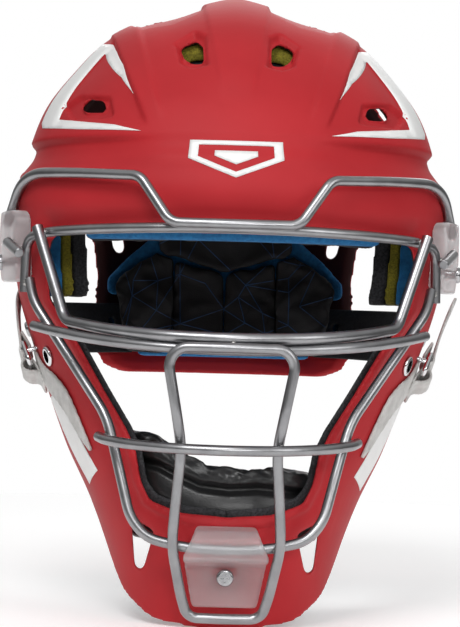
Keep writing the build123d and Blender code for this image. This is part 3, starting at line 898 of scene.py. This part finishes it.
# Seen along the buckle's bar (x, z): the strap round the bar, then the loose tail
BUCKLE_FOLD = [
    (-17, 1.6), (-11, 3.0), (-8.5, 7.5), (-5, 9.6), (-1.5, 8.0), (-2.0, 4.2), (-6.5, 2.6), (-12, 1.9),
]
TAIL_FOLD = [(15, 4.0), (9, 2.9), (5.4, 2.6), (3.2, 4.6), (4.4, 7.8)]
TAIL_LIE = {  # the left tail stands off the shell, the right one lies close to it
    "left": [(9, 7.2), (20, 6.4), (34, 6.2), (48.5, 6.8)],
    "right": [(9, 6.4), (20, 4.4), (33, 1.2), (43, -3.2)],
}


def buckle_point(x, z):
    return BUCKLE_ORIGIN + BUCKLE_X * x + BUCKLE_Z * z


def flip(vector, side):
    return np.array((vector[0] * side, vector[1], vector[2]))


def path_with_normals(profile, side):
    """A path in the buckle's x-z plane, with its normals on the left of travel."""
    path = []
    steps = np.gradient(profile, axis=0)
    for (x, z), (dx, dz) in zip(profile, steps):
        length = math.hypot(dx, dz)
        normal = BUCKLE_X * (-dz / length) + BUCKLE_Z * (dx / length)
        path.append((flip(buckle_point(x, z), side), flip(normal, side)))
    return path


def cheek_path(side):
    """The strap's path over the shell, with the shell's normals and the directions across it."""
    path = []
    for y, z in spline_points(STRAP_LINE, STRAP_POINTS):
        start = Vector((0.25 * side, y * MM, z * MM))
        spot, normal, _, _ = front_tree.ray_cast(start, Vector((-side, 0, 0)))
        path.append((np.array(spot / MM + normal * (0.3 + WEBBING_T / 2)), np.array(normal)))
    runs = np.gradient(np.array([centre for centre, _ in path]), axis=0)
    across = [np.cross(normal, run) for (_, normal), run in zip(path, runs)]
    return path, [sideways / np.linalg.norm(sideways) for sideways in across]


for name, side in SIDES:
    # the strap lies on the shell from its pointed tip up to the buckle, then folds over the bar
    path, across = cheek_path(side)
    taper = [min(1.0, 0.06 + 0.94 * (i / STRAP_TIP_POINTS) ** 0.8) for i in range(STRAP_POINTS)]
    ribbon(
        f"cheek_webbing_{name}", path, across, WEBBING_W, WEBBING_T, "front",
        [f"cheek_strap_{name}"], taper,
    )
    bar = flip(BUCKLE_Y, side)
    fold = path_with_normals(spline_points(BUCKLE_FOLD, FOLD_POINTS), side)
    ribbon(f"buckle_fold_{name}", fold, bar, FOLD_W, FOLD_T, "front")
    tail = path_with_normals(spline_points(TAIL_FOLD + TAIL_LIE[name], TAIL_POINTS), side)
    taper = [1.0] * (TAIL_POINTS - TAIL_TIP_POINTS)
    taper += [1.0 - 0.75 * (i / TAIL_TIP_POINTS) ** 2 for i in range(1, TAIL_TIP_POINTS + 1)]
    ribbon(
        f"tail_webbing_{name}", tail, bar, FOLD_W, FOLD_T, f"tail_{name}", [f"strap_tail_{name}"],
        taper,
    )

# ---------------------------------------------------------------- cage, clips, hardware

CAGE = [n for n in sorted(NODES) if n.startswith("cage_")]
for node in CAGE:
    dress(node, steel)
for node in sorted(NODES):
    if node.startswith(("strap_buckle", "strap_eyelet")):
        dress(node, chrome)
    elif "screw" in node or "nut" in node:
        dress(node, dark_steel)


for node in ("side_clip_left", "side_clip_right", "chin_clip"):
    finish_piece(remade(node, 0.8, 9), BODY_OF[node], clip, [node])

WELD_REACH = 1.6  # millimetres between two wires that a bead still bridges
WELD_SPACING = 60.0
WELD_RADIUS = 1.9
SIDE_BY_SIDE = {"cage_cross_wire", "cage_eye_wire"}  # these two run along each other unwelded


def surface_samples(mesh, rng, per_mm2=0.8):
    mesh.calc_loop_triangles()
    co = coords_mm(mesh)
    tris = np.array([t.vertices[:] for t in mesh.loop_triangles])
    a, b, c = co[tris[:, 0]], co[tris[:, 1]], co[tris[:, 2]]
    areas = np.linalg.norm(np.cross(b - a, c - a), axis=1) / 2
    chosen = rng.choice(len(tris), int(areas.sum() * per_mm2), p=areas / areas.sum())
    u, v = rng.random(len(chosen)), rng.random(len(chosen))
    over = u + v > 1
    u[over], v[over] = 1 - u[over], 1 - v[over]
    return a[chosen] + (b - a)[chosen] * u[:, None] + (c - a)[chosen] * v[:, None]


def weld_places():
    """Points where two cage wires touch or nearly touch, found once on one side and mirrored."""
    rng = np.random.default_rng(7)
    wires = [n for n in CAGE if "peg" not in n or n.endswith("_left")]
    samples = {n: surface_samples(NODES[n].data, rng) for n in wires}
    trees = {n: tree_of(NODES[n].data) for n in wires}
    found = []
    for i, first in enumerate(wires):
        for second in wires[i + 1:]:
            if {first, second} == SIDE_BY_SIDE:
                continue
            near = []
            for point in samples[first][samples[first][:, 0] > -0.5]:
                spot, _, _, gap = trees[second].find_nearest(Vector(point) * MM, WELD_REACH * MM)
                if spot is not None:
                    near.append((gap, *((Vector(point) + spot / MM) / 2)))
            near.sort()
            kept = []
            for gap, *middle in near:
                if all(np.linalg.norm(np.array(middle) - k) > WELD_SPACING for k in kept):
                    kept.append(np.array(middle))
            found += kept
    return found


def bead(centre, rng, radius=WELD_RADIUS):
    """One lumpy blob of weld metal."""
    points, faces = [], []
    rings, spokes = 6, 9
    squash = 0.75 + 0.3 * rng.random(3)
    for r in range(rings + 1):
        polar = math.pi * r / rings
        for s in range(spokes):
            turn = 2 * math.pi * s / spokes
            size = radius * (1 + 0.10 * (rng.random() - 0.5))
            points.append(centre + squash * size * np.array((
                math.sin(polar) * math.cos(turn), math.sin(polar) * math.sin(turn), math.cos(polar),
            )))
    for r in range(rings):
        for s in range(spokes):
            t = (s + 1) % spokes
            faces.append((r * spokes + s, (r + 1) * spokes + s, (r + 1) * spokes + t, r * spokes + t))
    return points, faces


bead_rng = np.random.default_rng(11)
bead_points, bead_faces = [], []
for place in weld_places():
    for side in (1, -1) if place[0] > 2 else (1,):
        points, faces = bead(flip(place, side), bead_rng)
        bead_faces += [tuple(len(bead_points) + i for i in f) for f in faces]
        bead_points += points
beads = mesh_object("cage_weld_beads", bead_points, bead_faces)
finish_piece(beads, "front", weld)

# ---------------------------------------------------------------- floor and finish

FLOOR_RADIUS = 0.75
FLOOR_GAP = 0.0006
floor_z = min(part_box(n)[0].z for n in NODES) - FLOOR_GAP
bpy.ops.mesh.primitive_circle_add(
    vertices=96, radius=FLOOR_RADIUS, fill_type="NGON", location=(0, 0, floor_z)
)
floor = bpy.context.object
floor.name = "floor"
floor.data.materials.append(floor_material())
